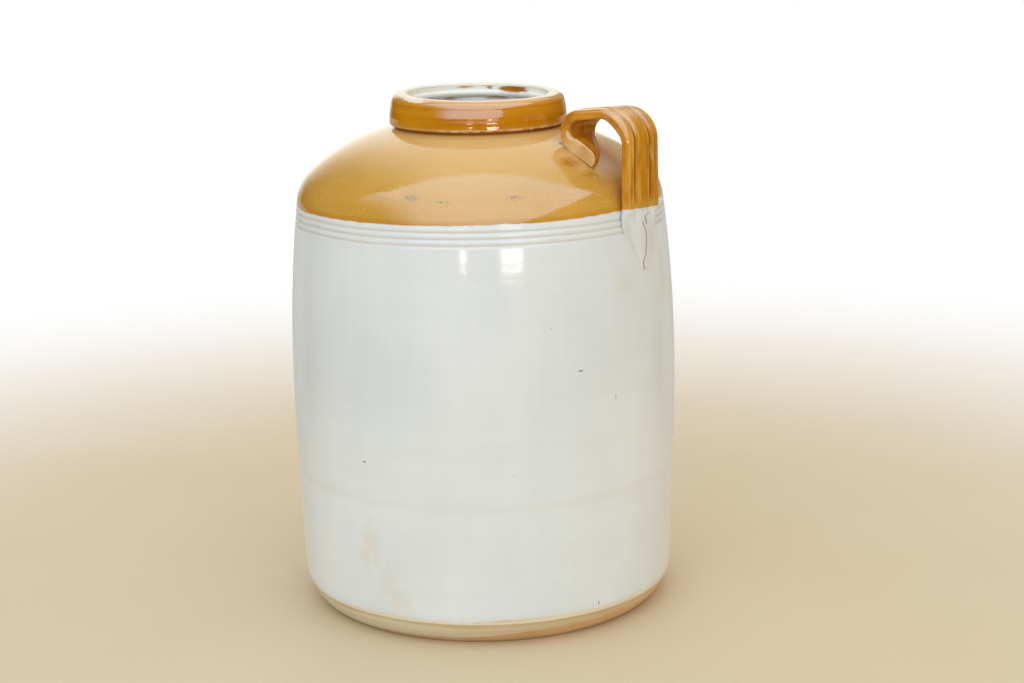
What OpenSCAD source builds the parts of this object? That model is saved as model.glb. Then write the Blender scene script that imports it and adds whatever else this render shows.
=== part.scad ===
// Stoneware storage jar: barrel body, luted dome, collar with a lid gallery
// and one pulled strap handle. Millimetres, +Z up, origin at the centre of the foot,
// handle on the +X side.

/* [Body] */
// Greatest outer radius of the barrel, at the belly
body_r = 135; // [128:1:160]
// Height of the belly above the table
belly_z = 165; // [130:1:200]
// Height of the luted seam between wall and dome, where the two glazes meet
seam_z = 285; // [250:1:330]
// How far the seam lies inside the belly
seam_inset = 7.5; // [4:0.1:12]
// Thickness of the thrown clay
wall_t = 11; // [7:0.5:15]

/* [Foot] */
// Outer radius of the flat foot
foot_r = 117.4; // [100:0.2:122]
// Thickness of the floor slab
floor_t = 16; // [10:0.5:20]
// Height at which the rounded heel runs into the wall
heel_z = 24; // [21:0.5:34]
// How far the top of the heel lies inside the belly
heel_inset = 3.4; // [2:0.1:8]

/* [Incised rings] */
// Number of rings turned into the wall below the seam
ring_count = 3; // [1:1:5]
// Depth of the first ring below the seam
ring_drop = 4.8; // [3:0.1:8]
// Distance from one ring to the next
ring_step = 4.3; // [3.6:0.1:8]
// Radius of the tool tip
ring_tool_r = 1.7; // [1.2:0.1:2.5]
// How deep the tool cut
ring_depth = 0.5; // [0.2:0.05:0.8]

/* [Dome] */
// Rise from the seam to the neck
dome_rise = 49.3; // [40:0.1:60]
// Outer radius of the tight turn above the seam
turn_r = 32; // [24:0.5:40]
// Outer radius of the flatter crown
dome_r = 120; // [100:1:160]
// How much narrower the throat is than the mouth
throat_step = 2.2; // [0.5:0.1:5]

/* [Collar] */
// Radius of the mouth, which takes the lid
mouth_r = 48.7; // [44:0.1:53]
// Thickness of the collar around the mouth
collar_t = 12.8; // [11:0.1:16]
// How far the neck, on which the collar is luted, lies inside the collar
neck_inset = 4.5; // [2:0.1:6]
// Height from the neck to the top of the rim
collar_h = 23.7; // [20:0.1:27]
// How much the collar narrows from its lower edge up to the rim
collar_taper = 1.5; // [0:0.1:2.5]
// Height of the overhanging lower edge above the neck
collar_lift = 2; // [1:0.1:4]
// Rounding of the rim's outer edge
rim_out_r = 6; // [3:0.1:6.5]
// Rounding of the rim's inner edge
rim_in_r = 1.6; // [1:0.1:3]
// Depth of the lid ledge below the rim
ledge_depth = 4.5; // [3.5:0.1:8]
// Radius of the rounded lid ledge
ledge_r = 2.5; // [1.5:0.1:3.5]
// How far the middle of that rounding lies inside the bore at its foot
ledge_inset = 0.5; // [0.2:0.1:2]

/* [Handle] */
// Width of the strap
strap_w = 39.5; // [32:0.5:44]
// Thickness of the strap
strap_t = 7.4; // [6:0.1:9]
// Drop from the rim to the top of the arch
handle_drop = 5.2; // [2:0.1:8]
// Bend of the strap where it turns down, at the middle of its thickness
bend_r = 19; // [15:0.5:22]
// Bend of the curled upper end, at the middle of its thickness
curl_r = 11; // [9:0.5:12]
// Gap between the collar and the curl
curl_gap = 18.9; // [14:0.1:21]
// Length of the tongue pressed down on the dome
tongue_l = 20; // [12:0.5:24]
// How far the tongue is pressed flat
tongue_press = 1.4; // [1:0.1:2.5]
// Thickness of the tongue's underside at its tip as a share of the strap
tongue_taper = 0.7; // [0.5:0.05:1]
// Extra height of the tongue over the strap's thickness
tongue_pad = 3.2; // [0:0.1:4]
// Width of the tongue's tip, which lies at the near edge
tongue_tip_w = 5.3; // [3:0.1:12]
// How much the far edge of the strap moves in along the curl
curl_narrow = 13.3; // [0:0.1:18]
// Extra thickness on the inside of the bend
bend_swell = 1.6; // [0:0.1:3]
// Sideways roll of the strap at the top of the arch
strap_roll = -2; // [-6:0.5:6]
// Crown of the strap's outer face
strap_crown = 0.6; // [0:0.1:1.2]
// Place of the near finger groove, from the middle of the strap
groove_near = -11; // [-12:0.5:-6]
// Place of the far finger groove, from the middle of the strap
groove_far = 7.5; // [5:0.5:12]
// Depth of the finger grooves
groove_depth = 1.5; // [0.5:0.1:2]
// Half the width of a finger groove
groove_half = 3; // [2:0.1:4]
// Length of the pressed tail below the seam
tail_l = 41; // [25:1:60]
// Width of the tail's tip
tail_tip_w = 2; // [1:0.5:8]
// Thickness of the tail's tip
tail_tip_t = 0.8; // [0.5:0.1:2]
// How far the tip lies towards the far side
tail_shift = 3.6; // [0:0.1:8]
// Bow of the tail's near edge, 1 for a straight one
near_bow = 1.6; // [1:0.1:3]
// Bow of the tail's far edge, 1 for a straight one
far_bow = 5; // [1:0.5:8]
// Share of the tail's width that is smoothed down at its near edge
near_feather = 0.4; // [0.1:0.05:0.45]
// Share of the tail's width that is smoothed down at its far edge
far_feather = 0.25; // [0.1:0.05:0.45]
// Slip-filled gap between the handle and the jar
lute_gap = 0.1; // [0.05:0.05:0.3]

/* [Hidden] */
$fn = 128;

white_glaze = "#DFDDD7";
ochre_glaze = "#C68A2E";
bare_clay = "#C7A27C";

// Steps along an arc of the jar's profile
arc_steps = 14;

// Point at angle a on a circle
function on_circle(c, r, a) = c + r * [cos(a), sin(a)];
// Points of an arc from angle a to angle b, without the first one if skip is 1
function arc(c, r, a, b, skip = 0) =
    [for (i = [skip:arc_steps]) on_circle(c, r, a + (b - a) * i / arc_steps)];
// Radius of an arc that leaves the vertical, moves in by d and climbs by h
function swell_r(d, h) = (d * d + h * h) / (2 * d);

// Barrel: two arcs that meet upright at the belly
low_r = swell_r(heel_inset, belly_z - heel_z);
low_c = [body_r - low_r, belly_z];
low_a = -asin((belly_z - heel_z) / low_r);
high_r = swell_r(seam_inset, seam_z - belly_z);
high_c = [body_r - high_r, belly_z];
seam_a = asin((seam_z - belly_z) / high_r);
seam_r = body_r - seam_inset;

// Heel: an arc that leaves the wall smoothly and ends at the foot
heel_p = on_circle(low_c, low_r, low_a);
heel_n = [cos(low_a), sin(low_a)];
heel_d = heel_p - [foot_r, 0];
heel_r = (heel_d * heel_d) / (2 * (heel_d * heel_n));
heel_c = heel_p - heel_r * heel_n;
heel_end_a = -asin(heel_c.y / heel_r);
heel_cut_a = asin((floor_t - heel_c.y) / heel_r);

// Mouth: the collar, its neck and its throat follow the lid's radius
collar_r = mouth_r + collar_t;
neck_r = collar_r - neck_inset;
throat_r = mouth_r - throat_step;

// Dome: the tight turn runs into a flatter crown that passes through the neck
neck_z = seam_z + dome_rise;
neck_p = [neck_r, neck_z];
turn_c = on_circle(high_c, high_r - turn_r, seam_a);
span = norm(neck_p - turn_c);
span_u = (neck_p - turn_c) / span;
foot_of_c = ((dome_r - turn_r) ^ 2 - dome_r ^ 2 + span ^ 2) / (2 * span);
side_of_c = sqrt((dome_r - turn_r) ^ 2 - foot_of_c ^ 2);
dome_c = turn_c + foot_of_c * span_u + side_of_c * [-span_u.y, span_u.x];
turn_a = atan2(turn_c.y - dome_c.y, turn_c.x - dome_c.x);
neck_a = atan2(neck_z - dome_c.y, neck_r - dome_c.x);
throat_a = acos((throat_r - dome_c.x) / (dome_r - wall_t));

// Collar and lid gallery
rim_z = neck_z + collar_h;
ledge_z = rim_z - ledge_depth;
ledge_foot_z = ledge_z - 2 * ledge_r;
ledge_foot_r = mouth_r - 2 * ledge_r * (mouth_r - throat_r) / (ledge_z - neck_z);
ledge_mid_r = ledge_foot_r - ledge_inset;
collar_edge_r = collar_lift / 2;

// Handle: foot line, bend, run, curl and tongue as one smooth path
strap_rho = seam_r + lute_gap + strap_t / 2;
bend_c = [strap_rho - bend_r, rim_z - handle_drop - strap_crown - strap_t / 2 - bend_r];
tongue_r = dome_r + strap_t / 2 - tongue_press;
curl_rho = collar_r + curl_gap + strap_t / 2 + curl_r;
curl_a = acos((curl_rho - dome_c.x) / (tongue_r + curl_r));
curl_c = on_circle(dome_c, tongue_r + curl_r, curl_a);
run_d = curl_c - bend_c;
run_a = atan2(run_d.y, run_d.x) - acos((bend_r - curl_r) / norm(run_d));
tongue_a = tongue_l / tongue_r * 180 / PI;
foot_l = bend_c.y - seam_z;
pad_share = 2 * tongue_pad / strap_t;
swell_share = 2 * bend_swell / strap_t;
curl_far = strap_w / 2 - curl_narrow;
tongue_far = tongue_tip_w - strap_w / 2;

// Steps along the straights and bends of the handle's path
straight_steps = 4;
bend_steps = 12;
tongue_steps = 8;
tail_steps = 16;
face_steps = 18;
edge_steps = 6;
back_steps = 6;

// Radius of the wall's outer face at height z
function wall_r(z) = z > belly_z
    ? high_c.x + sqrt(high_r ^ 2 - (z - belly_z) ^ 2)
    : low_c.x + sqrt(low_r ^ 2 - (z - belly_z) ^ 2);

module revolve(points) {
    rotate_extrude()
        polygon(points);
}

// Floor slab with the bare-clay heel
module base() {
    color(bare_clay)
        revolve(concat(
            [[0, 0]],
            arc(heel_c, heel_r, heel_end_a, heel_cut_a),
            [[0, floor_t]]));
}

// Barrel wall with its turned rings
module body_wall() {
    inner_a = asin((floor_t - belly_z) / (low_r - wall_t));
    color(white_glaze)
        rotate_extrude()
            difference() {
                polygon(concat(
                    arc(heel_c, heel_r, heel_cut_a, low_a),
                    arc(low_c, low_r, low_a, 0, 1),
                    arc(high_c, high_r, 0, seam_a, 1),
                    arc(high_c, high_r - wall_t, seam_a, 0),
                    arc(low_c, low_r - wall_t, 0, inner_a, 1)));
                for (i = [0:ring_count - 1]) {
                    z = seam_z - ring_drop - i * ring_step;
                    translate([wall_r(z) + ring_tool_r - ring_depth, z])
                        circle(ring_tool_r);
                }
            }
}

// Domed shoulder, open at the throat
module shoulder() {
    color(ochre_glaze)
        revolve(concat(
            arc(turn_c, turn_r, seam_a, turn_a),
            arc(dome_c, dome_r, turn_a, neck_a, 1),
            [[throat_r, neck_z]],
            arc(dome_c, dome_r - wall_t, throat_a, turn_a),
            arc(turn_c, turn_r - wall_t, turn_a, seam_a, 1)));
}

// Rounded coil that carries the lid, wedged in the collar's tapered bore
module gallery_ring() {
    color(white_glaze)
        revolve(concat(
            [[ledge_foot_r, ledge_foot_z], [mouth_r, ledge_z]],
            arc([ledge_mid_r, ledge_z - ledge_r], ledge_r, 90, 270)));
}

// Collar that narrows up to a rounded rim, with an overhanging lower edge
module collar() {
    edge_c = [collar_r - collar_edge_r, neck_z + collar_lift + collar_edge_r];
    rim_c = [collar_r - collar_taper - rim_out_r, rim_z - rim_out_r];
    face_a = atan2(collar_taper, rim_c.y - edge_c.y);
    color(ochre_glaze)
        revolve(concat(
            [[throat_r, neck_z], [neck_r, neck_z]],
            arc(edge_c, collar_edge_r, -90, face_a),
            arc(rim_c, rim_out_r, face_a, 90),
            arc([mouth_r + rim_in_r, rim_z - rim_in_r], rim_in_r, 90, 180),
            [[mouth_r, ledge_z]]));
}

// Depth of the finger grooves at a place across the strap
function groove(a) = groove_depth * max([for (g = [groove_near, groove_far])
    abs(a - g) < groove_half ? (1 + cos(180 * (a - g) / groove_half)) / 2 : 0]);

// Section of the strap as [across, outward] points: outer face, edge, back, edge
face_half = (strap_w - strap_t) / 2;
section = concat(
    [for (i = [0:face_steps])
        let (a = face_half * (2 * i / face_steps - 1))
        [a, strap_t / 2 + strap_crown * (1 - (a / face_half) ^ 2) - groove(a)]],
    [for (i = [1:edge_steps - 1])
        on_circle([face_half, 0], strap_t / 2, 90 - 180 * i / edge_steps)],
    [for (i = [0:back_steps]) [face_half * (1 - 2 * i / back_steps), -strap_t / 2]],
    [for (i = [1:edge_steps - 1])
        on_circle([-face_half, 0], strap_t / 2, 270 - 180 * i / edge_steps)]);

// Stations of the handle's path: centre, direction of the outer face, shares of the outer and
// the inner half of the thickness, roll, place of the far edge
stations = concat(
    [for (i = [0:straight_steps - 1])
        [[strap_rho, seam_z + foot_l * i / straight_steps], 0, 1, 1,
            roll(i / straight_steps / 4), strap_w / 2]],
    [for (i = [0:bend_steps])
        let (a = run_a * i / bend_steps)
        [on_circle(bend_c, bend_r, a), a, 1, 1 + swell_share * sin(180 * i / bend_steps) ^ 2,
            roll(1 / 4 + i / bend_steps / 4), strap_w / 2]],
    [for (i = [0:bend_steps])
        let (q = i / bend_steps)
        let (a = run_a + (curl_a + 180 - run_a) * q)
        [on_circle(curl_c, curl_r, a), a, 1, 1 + pad_share * q ^ 3,
            roll(1 / 2 + q / 2), strap_w / 2 - curl_narrow * q ^ 2]],
    [for (i = [1:tongue_steps])
        let (u = i / tongue_steps)
        let (a = curl_a - tongue_a * u)
        [on_circle(dome_c, tongue_r, a), a + 180, 1 - (1 - tongue_taper) * u,
            (1 + pad_share) * tip_round(u), 0, curl_far + (tongue_far - curl_far) * u]]);

// Share of the tongue's height that is left near its rounded tip
function tip_round(u) = sqrt(1 - 0.96 * (max(0, u - 0.6) / 0.4) ^ 2);

// Roll of the strap at a share s of its way from the seam to the tongue
function roll(s) = strap_roll * sin(180 * s) ^ 2;

// Moves a point that lies under the dome's face out to it
function pressed(p) =
    let (r = norm([p.x, p.y]))
    let (q = [r, p.z] - turn_c)
    let (on_turn = atan2(q.y, q.x) < turn_a)
    let (c = on_turn ? turn_c : dome_c)
    let (least = (on_turn ? turn_r : dome_r) + lute_gap)
    let (d = norm([r, p.z] - c))
    let (m = d < least ? c + ([r, p.z] - c) * least / d : [r, p.z])
    [p.x * m.x / r, p.y * m.x / r, m.y];

// Places a section point at a station of the path
function strap_point(s, p) =
    let (across = (s[5] + strap_w / 2) * (p.x / strap_w + 1 / 2) - strap_w / 2)
    let (out = p.y * (p.y > 0 ? s[2] : s[3]))
    let (a = across * cos(s[4]) - out * sin(s[4]))
    let (b = across * sin(s[4]) + out * cos(s[4]))
    let (c = on_circle(s[0], b, s[1]))
    pressed([c.x, a, c.y]);

// Closed skin over rings of points
module skin(rings) {
    n = len(rings[0]);
    last = len(rings) - 1;
    polyhedron(
        points = [for (ring = rings) each ring],
        faces = concat(
            [[for (i = [0:n - 1]) i]],
            [for (k = [0:last - 1], i = [0:n - 1])
                let (j = (i + 1) % n)
                each [
                    [k * n + i, (k + 1) * n + i, k * n + j],
                    [k * n + j, (k + 1) * n + i, (k + 1) * n + j]]],
            [[for (i = [n - 1:-1:0]) last * n + i]]));
}

// Ribbed strap: arch, curl and tongue
module handle_strap() {
    color(ochre_glaze)
        skin([for (s = stations) [for (p = section) strap_point(s, p)]]);
}

// How far a section point stands off the wall where the strap meets the tail
function stand_off(p) = p.y < 0.01 - strap_t / 2
    ? 0
    : strap_rho + p.y - sqrt((seam_r + lute_gap) ^ 2 - p.x ^ 2);

// How far the strap's shape is smoothed away at share v of the tail
function worn(v) = 1 - (1 - v) ^ 6;

// Places a section point on the tail, at share v of its way to the tip; the grooves and the
// standing edges are smoothed away below the seam
function tail_point(v, p) =
    let (z = seam_z - tail_l * v)
    let (u = p.x / strap_w + 1 / 2)
    let (near = (strap_w / 2 + tail_shift - tail_tip_w / 2) * v ^ near_bow - strap_w / 2)
    let (far = strap_w / 2 - (strap_w / 2 - tail_shift - tail_tip_w / 2) * v ^ far_bow)
    let (a = near + (far - near) * u)
    let (full = stand_off(p) + (p.y > 0 ? groove(p.x) * worn(v) : 0))
    let (side = max(0.06, sin(90 * min(1, u / near_feather, (1 - u) / far_feather))))
    let (tip = tail_tip_t / strap_t)
    let (h = full * (tip + (1 - tip) * cos(90 * v) ^ 2) * (1 - (1 - side) * worn(v)))
    [sqrt((wall_r(z) + lute_gap) ^ 2 - a ^ 2) + h, a, z];

// Tail of the strap, pressed on the wall below the seam
module handle_tail() {
    color(white_glaze)
        skin([for (k = [tail_steps:-1:0])
            [for (p = section) tail_point(k / tail_steps, p)]]);
}

base();
body_wall();
shoulder();
gallery_ring();
collar();
handle_strap();
handle_tail();
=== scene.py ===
import math

import bmesh
import bpy
import numpy as np
from mathutils import Matrix, Vector


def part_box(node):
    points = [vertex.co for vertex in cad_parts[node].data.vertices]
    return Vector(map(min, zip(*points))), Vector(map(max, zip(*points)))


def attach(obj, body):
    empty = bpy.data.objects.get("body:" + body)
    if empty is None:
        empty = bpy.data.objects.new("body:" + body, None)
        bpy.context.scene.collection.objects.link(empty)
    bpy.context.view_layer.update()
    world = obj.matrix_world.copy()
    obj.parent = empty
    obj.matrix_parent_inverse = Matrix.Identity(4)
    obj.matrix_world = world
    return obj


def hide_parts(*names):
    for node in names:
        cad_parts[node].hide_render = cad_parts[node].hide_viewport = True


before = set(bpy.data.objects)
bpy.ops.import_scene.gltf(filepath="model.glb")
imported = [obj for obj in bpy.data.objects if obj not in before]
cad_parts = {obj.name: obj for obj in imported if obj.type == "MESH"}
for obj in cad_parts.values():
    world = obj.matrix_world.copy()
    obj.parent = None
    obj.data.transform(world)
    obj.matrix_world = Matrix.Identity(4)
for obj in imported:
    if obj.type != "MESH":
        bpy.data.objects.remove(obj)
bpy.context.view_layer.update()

print("frame loaded:", ", ".join(sorted(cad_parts)))

# driving sizes in metres; heights and radii that the frame holds are read from it
jar = {
    "bodyR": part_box("body_wall")[1].x,
    "bellyZ": 0.165,
    "seamZ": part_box("body_wall")[1].z,
    "seamInset": 0.0075,
    "wallT": 0.011,
    "footR": 0.1174,
    "floorT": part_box("base")[1].z,
    "heelZ": 0.024,
    "heelInset": 0.0034,
    "neckZ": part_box("collar")[0].z,
    "rimZ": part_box("collar")[1].z,
    "turnR": 0.032,
    "domeR": 0.120,
    "mouthR": 0.0487,
    "throatStep": 0.0022,
    "collarT": 0.0128,
    "collarTaper": 0.0015,
    "neckInset": 0.0045,
    "segments": 288,
    "frontTurn": -53.6,  # degrees from the handle to the side that faces the camera
}


def onCircle(centre, radius, angle):
    return np.array([centre[0] + radius * math.cos(angle), centre[1] + radius * math.sin(angle)])


def arcLine(centre, radius, start, end, count):
    angle = np.linspace(start, end, count)
    return np.column_stack([centre[0] + radius * np.cos(angle), centre[1] + radius * np.sin(angle)])


def straightLine(start, end, count):
    share = np.linspace(0, 1, count)[:, None]
    return np.array(start) * (1 - share) + np.array(end) * share


def swellR(inset, climb):
    return (inset * inset + climb * climb) / (2 * inset)


# barrel: two arcs that meet upright at the belly
lowClimb = jar["bellyZ"] - jar["heelZ"]
lowR = swellR(jar["heelInset"], lowClimb)
lowC = np.array([jar["bodyR"] - lowR, jar["bellyZ"]])
lowA = -math.asin(lowClimb / lowR)
highClimb = jar["seamZ"] - jar["bellyZ"]
highR = swellR(jar["seamInset"], highClimb)
highC = np.array([jar["bodyR"] - highR, jar["bellyZ"]])
seamA = math.asin(highClimb / highR)
seamR = jar["bodyR"] - jar["seamInset"]

# heel: an arc that leaves the wall smoothly and ends at the foot
heelP = onCircle(lowC, lowR, lowA)
heelN = np.array([math.cos(lowA), math.sin(lowA)])
heelD = heelP - np.array([jar["footR"], 0])
heelR = heelD @ heelD / (2 * heelD @ heelN)
heelC = heelP - heelR * heelN
heelEndA = -math.asin(heelC[1] / heelR)
heelCutA = math.asin((jar["floorT"] - heelC[1]) / heelR)

# dome: a tight turn runs into a flatter crown that passes through the neck
collarR = jar["mouthR"] + jar["collarT"]
neckR = collarR - jar["neckInset"]
throatR = jar["mouthR"] - jar["throatStep"]
neckP = np.array([neckR, jar["neckZ"]])
turnC = onCircle(highC, highR - jar["turnR"], seamA)
span = float(np.linalg.norm(neckP - turnC))
spanU = (neckP - turnC) / span
crownR = jar["domeR"] - jar["turnR"]
footOfC = (crownR ** 2 - jar["domeR"] ** 2 + span ** 2) / (2 * span)
sideOfC = math.sqrt(crownR ** 2 - footOfC ** 2)
domeC = turnC + footOfC * spanU + sideOfC * np.array([-spanU[1], spanU[0]])
turnA = math.atan2(turnC[1] - domeC[1], turnC[0] - domeC[0])
neckA = math.atan2(jar["neckZ"] - domeC[1], neckR - domeC[0])
throatA = math.acos((throatR - domeC[0]) / (jar["domeR"] - jar["wallT"]))


def wallR(z):
    z = np.asarray(z, float)
    upper = highC[0] + np.sqrt(highR ** 2 - (z - jar["bellyZ"]) ** 2)
    lower = lowC[0] + np.sqrt(lowR ** 2 - (z - jar["bellyZ"]) ** 2)
    return np.where(z > jar["bellyZ"], upper, lower)


# radius of the jar's outer face at a height, from the heel up to the neck
def faceR(z):
    if z < jar["heelZ"]:
        return heelC[0] + math.sqrt(heelR ** 2 - (z - heelC[1]) ** 2)
    if z <= jar["seamZ"]:
        return float(wallR(z))
    onTurn = z < turnC[1] + jar["turnR"] * math.sin(turnA)
    centre, radius = (turnC, jar["turnR"]) if onTurn else (domeC, jar["domeR"])
    return centre[0] + math.sqrt(radius ** 2 - (z - centre[1]) ** 2)


# point on the outer face; turn is in degrees from the handle
def facePoint(turn, z, radius=None):
    r = faceR(z) if radius is None else radius
    return (r * math.cos(math.radians(turn)), r * math.sin(math.radians(turn)), z)


# thrown by hand: a slow oval, lobes and soft ridges, inwards only, with next to nothing beside the handle
throwing = {"oval": 0.00045, "lobes": 0.00022, "lobeRise": 0.045, "lobeStart": 1.2,
            "ridges": 0.000012, "ridgeRise": 0.0014, "ridgeDrift": 0.02}
# a line pressed round the wall by a finger, deepest to the left of the front, with painted shade along it
fingerMark = {"z": 0.0965, "half": 0.005, "depth": 0.00030, "turn": 0.6,
              "shadeZ": 0.0970, "shadeHalf": 0.0034, "shadeShare": 0.2}


def bell(value, middle, half):
    return np.exp(-((value - middle) / half) ** 2)


def handmade(angle, z):
    oval = throwing["oval"] * np.sin(angle) ** 2
    rise = 1 + np.sin(z / throwing["lobeRise"] + throwing["lobeStart"])
    lobes = throwing["lobes"] * np.sin(1.5 * angle) ** 2 * rise / 2
    drift = 2 * np.sin(z / throwing["ridgeDrift"])
    ridges = throwing["ridges"] * (1 + np.sin(z / throwing["ridgeRise"] + angle + drift))
    fingerSide = (1 - np.sin(angle + fingerMark["turn"])) / 2
    finger = fingerMark["depth"] * bell(z, fingerMark["z"], fingerMark["half"]) * fingerSide
    return oval + lobes + ridges + finger


# the rim sits a little lower between the front and the handle
rimLean = {"drop": 0.0022, "turn": math.radians(-20), "from": jar["neckZ"] + 0.004}


def leanDrop(angle, z):
    side = (1 + np.cos(angle - rimLean["turn"])) / 2
    share = np.clip((z - rimLean["from"]) / (jar["rimZ"] - rimLean["from"]), 0, 1)
    return rimLean["drop"] * side * share


def smoothStep(value, low, high):
    share = np.clip((value - low) / (high - low), 0, 1)
    return share * share * (3 - 2 * share)


sharpEdge = 0.7  # radians between two faces; a sharper turn keeps its edge


def gridPiece(name, node, points, materials, rowMaterial=None, marks=None, loop=True, ends=False):
    rows, cols = points.shape[:2]
    last = rows if loop else rows - 1
    i, j = np.meshgrid(np.arange(last), np.arange(cols), indexing="ij")
    below, beside = (i + 1) % rows, (j + 1) % cols
    quads = np.stack([i * cols + j, i * cols + beside, below * cols + beside, below * cols + j], -1)
    faces = quads.reshape(-1, 4).tolist()
    if ends:
        faces += [list(range(cols)), list(range((rows - 1) * cols, rows * cols))]
    mesh = bpy.data.meshes.new(name)
    mesh.from_pydata(points.reshape(-1, 3).tolist(), [], faces)
    for material in materials:
        mesh.materials.append(material)
    if rowMaterial is not None:
        index = np.zeros(len(faces), int)
        index[:last * cols] = np.repeat(np.asarray(rowMaterial)[:last], cols)
        mesh.polygons.foreach_set("material_index", index)
    for markName, values in (marks or {}).items():
        layer = mesh.attributes.new(markName, "FLOAT", "POINT")
        layer.data.foreach_set("value", np.asarray(values, float).reshape(-1))
    tool = bmesh.new()
    tool.from_mesh(mesh)
    bmesh.ops.recalc_face_normals(tool, faces=tool.faces)
    for face in tool.faces:
        face.smooth = True
    for edge in tool.edges:
        edge.smooth = edge.calc_face_angle(0.0) < sharpEdge
    tool.to_mesh(mesh)
    tool.free()
    piece = bpy.data.objects.new(name, mesh)
    bpy.context.scene.collection.objects.link(piece)
    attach(piece, "root")
    if node:
        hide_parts(node)


# directions round the jar, from the handle, and in degrees from the side that faces the camera
turnAngle = np.linspace(0, 2 * math.pi, jar["segments"], endpoint=False)
fromFront = (np.degrees(turnAngle) - jar["frontTurn"] + 180) % 360 - 180


# points of a profile turned about the jar's axis, with the unevenness of hand throwing
def turned(profile, uneven=1.0, leaning=False):
    angle, level = turnAngle[None, :], profile[:, 1][:, None]
    r = profile[:, 0][:, None] - uneven * handmade(angle, level)
    z = level - leanDrop(angle, level) if leaning else np.repeat(level, jar["segments"], 1)
    return np.stack([r * np.cos(angle), r * np.sin(angle), z], -1)


def allRound(values):
    return np.repeat(np.asarray(values)[:, None], jar["segments"], 1)


def tint(code):
    parts = [int(code[k:k + 2], 16) / 255 for k in (0, 2, 4)]
    return tuple(c / 12.92 if c <= 0.04045 else ((c + 0.055) / 1.055) ** 2.4 for c in parts) + (1.0,)


def addNode(tree, kind, inputs=None, **settings):
    made = tree.nodes.new(kind)
    for key, value in settings.items():
        setattr(made, key, value)
    for key, value in (inputs or {}).items():
        if isinstance(value, bpy.types.NodeSocket):
            tree.links.new(value, made.inputs[key])
        else:
            made.inputs[key].default_value = value
    return made


def calc(tree, operation, first, second=0.0):
    return addNode(tree, "ShaderNodeMath", {0: first, 1: second}, operation=operation).outputs[0]


def multiplyAdd(tree, value, factor, plus):
    made = addNode(tree, "ShaderNodeMath", {0: value, 1: factor, 2: plus}, operation="MULTIPLY_ADD")
    return made.outputs[0]


def vectorCalc(tree, operation, first, second):
    return addNode(tree, "ShaderNodeVectorMath", {0: first, 1: second}, operation=operation)


def lengthOf(tree, vector):
    return addNode(tree, "ShaderNodeVectorMath", {0: vector}, operation="LENGTH").outputs["Value"]


def ramp(tree, value, low, high, start=0.0, end=1.0):
    made = addNode(tree, "ShaderNodeMapRange", {0: value, 1: low, 2: high, 3: start, 4: end},
                   interpolation_type="SMOOTHSTEP")
    return made.outputs[0]


def blendColour(tree, share, first, second):
    made = addNode(tree, "ShaderNodeMix", {0: share, 6: first, 7: second}, data_type="RGBA", blend_type="MIX")
    return made.outputs[2]


# lays a colour over another where a mask is, at a share of its strength
def layOver(tree, colour, mask, share, code):
    return blendColour(tree, calc(tree, "MULTIPLY", mask, share), colour, tint(code))


# place on the object in metres
def placeOf(tree):
    return addNode(tree, "ShaderNodeTexCoord").outputs["Object"]


def noiseOf(tree, place, scale, detail):
    return addNode(tree, "ShaderNodeTexNoise", {"Vector": place, "Scale": scale, "Detail": detail}).outputs[0]


# a noise of cells of a size in metres
def sizedNoise(tree, place, size, detail):
    return noiseOf(tree, place, calc(tree, "DIVIDE", 1.0, size), detail)


# widens a noise about its middle; a larger spread is softer
def spreadOut(tree, noise, spread):
    return ramp(tree, noise, calc(tree, "SUBTRACT", 0.5, spread), calc(tree, "ADD", 0.5, spread))


# a shader group with its named sockets; returns the tree, its input and its output node
def startGroup(name, inputs, outputs):
    tree = bpy.data.node_groups.new(name, "ShaderNodeTree")
    for socketName, kind, value in inputs:
        socket = tree.interface.new_socket(socketName, in_out="INPUT", socket_type=kind)
        socket.default_value = value
    for socketName, kind in outputs:
        tree.interface.new_socket(socketName, in_out="OUTPUT", socket_type=kind)
    return tree, tree.nodes.new("NodeGroupInput"), tree.nodes.new("NodeGroupOutput")


def useGroup(tree, group, inputs):
    return addNode(tree, "ShaderNodeGroup", inputs, node_tree=group).outputs[0]


floatSocket, vectorSocket, colourSocket = "NodeSocketFloat", "NodeSocketVector", "NodeSocketColor"


# fine iron specks and pinholes in a glaze
def buildSpeckle():
    tree, given, result = startGroup("fineSpeckle",
        [("Size", floatSocket, 0.001), ("Cover", floatSocket, 0.3), ("Softness", floatSocket, 0.1)],
        [("Mask", floatSocket)])
    noise = sizedNoise(tree, placeOf(tree), given.outputs["Size"], 1.0)
    low = calc(tree, "SUBTRACT", 1.0, given.outputs["Cover"])
    high = calc(tree, "ADD", low, given.outputs["Softness"])
    tree.links.new(ramp(tree, noise, low, high), result.inputs[0])
    return tree


# broad uneven thickness of a glaze; Stretch below 1 draws it out up and down
def buildClouding():
    tree, given, result = startGroup("glazeClouding",
        [("Size", floatSocket, 0.05), ("Stretch", floatSocket, 1.0), ("Spread", floatSocket, 0.3)],
        [("Value", floatSocket)])
    shape = addNode(tree, "ShaderNodeCombineXYZ", {0: 1.0, 1: 1.0, 2: given.outputs["Stretch"]})
    drawn = vectorCalc(tree, "MULTIPLY", placeOf(tree), shape.outputs[0]).outputs[0]
    noise = sizedNoise(tree, drawn, given.outputs["Size"], 3.0)
    tree.links.new(spreadOut(tree, noise, given.outputs["Spread"]), result.inputs[0])
    return tree


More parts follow.
